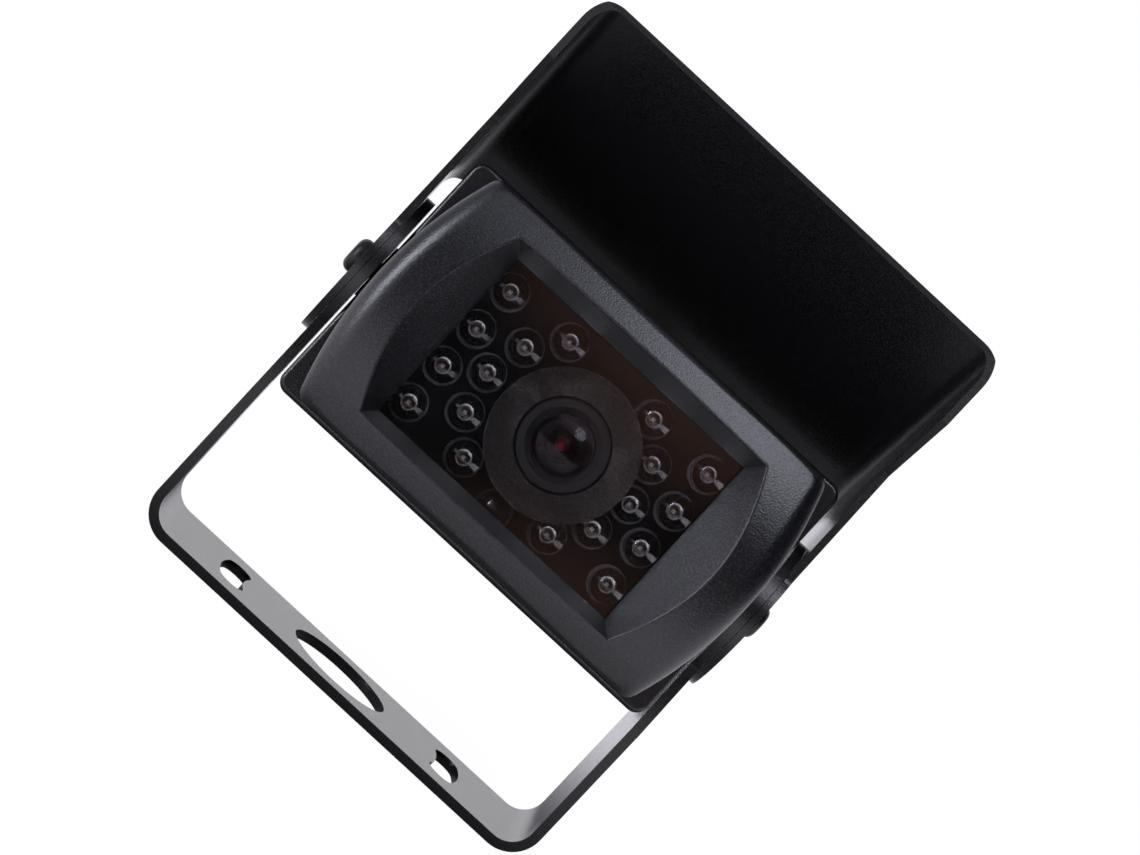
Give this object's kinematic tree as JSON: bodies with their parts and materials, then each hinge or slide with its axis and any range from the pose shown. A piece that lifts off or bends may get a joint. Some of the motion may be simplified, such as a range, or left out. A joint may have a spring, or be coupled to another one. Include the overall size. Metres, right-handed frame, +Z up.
{
  "type": "reversing camera",
  "caption": "Infrared reversing camera with a tilting box-shaped head in a U bracket, under a folding sheet-metal sun visor, with a rear cable gland.",
  "frame": {"origin": "centre of the bracket's underside, on the axis of its round cable hole", "axes": "+X to the right as seen from in front of the lens, the lens looks along -Y, +Z up from the mounting face"},
  "size_m": [0.0796, 0.0465, 0.1006],
  "materials": {
    "powder_coat": "fine textured black powder coat",
    "housing_paint": "fine textured black powder coat",
    "bezel_plastic": "charcoal black, fine orange peel",
    "rubber": "matte",
    "window_glass": "polished",
    "foam": "matte foam",
    "clear_epoxy": "clear",
    "lead_frame": "plated",
    "dark_epoxy": "dark blue, clear",
    "lens_black": "anodised black",
    "lens_glass": "coated",
    "circuit_board": "black solder mask",
    "chip": "moulded",
    "brass": "machined",
    "connector_plastic": "moulded",
    "zinc_steel": "zinc plated",
    "black_screw": "black oxide",
    "nylon": "moulded",
    "gland_nylon": "moulded"
  },
  "bodies": {
    "bracket": {"bracket": "powder_coat"},
    "camera": {"housing": "housing_paint", "rear_cover": "housing_paint", "front_bezel": "bezel_plastic", "bezel_gasket": "rubber", "window_gasket": "rubber", "cover_gasket": "rubber", "gland_seal": "rubber", "window_glass": "window_glass", "foam_ring": "foam", "ir_led_domes": "clear_epoxy", "ir_led_cups": "lead_frame", "light_sensor": "dark_epoxy", "lens_barrel": "lens_black", "lens_baffle": "lens_black", "lens_holder": "lens_black", "lens_front_element": "lens_glass", "lens_rear_element": "lens_glass", "led_board": "circuit_board", "sensor_board": "circuit_board", "image_sensor": "chip", "board_standoffs": "brass", "pivot_inserts": "brass", "board_header": "chip", "cable_connector": "connector_plastic", "bezel_screws": "zinc_steel", "led_board_screws": "zinc_steel", "sensor_board_screws": "zinc_steel", "rear_cover_screws": "black_screw", "left_pivot_screw": "black_screw", "right_pivot_screw": "black_screw", "friction_washers": "nylon", "cable_gland": "gland_nylon", "gland_lock_nut": "gland_nylon", "gland_cap_nut": "gland_nylon"},
    "visor": {"visor": "powder_coat"}
  },
  "joints": [
    {"name": "camera_tilt", "type": "hinge", "parent": "bracket", "child": "camera", "pos_m": [0, 0, 0.0478], "axis": [1, 0, 0], "range_deg": [-50, 70]},
    {"name": "visor_tilt", "type": "hinge", "parent": "camera", "child": "visor", "pos_m": [0, 0, 0.0478], "axis": [1, 0, 0], "range_deg": [-6, 36]}
  ]
}
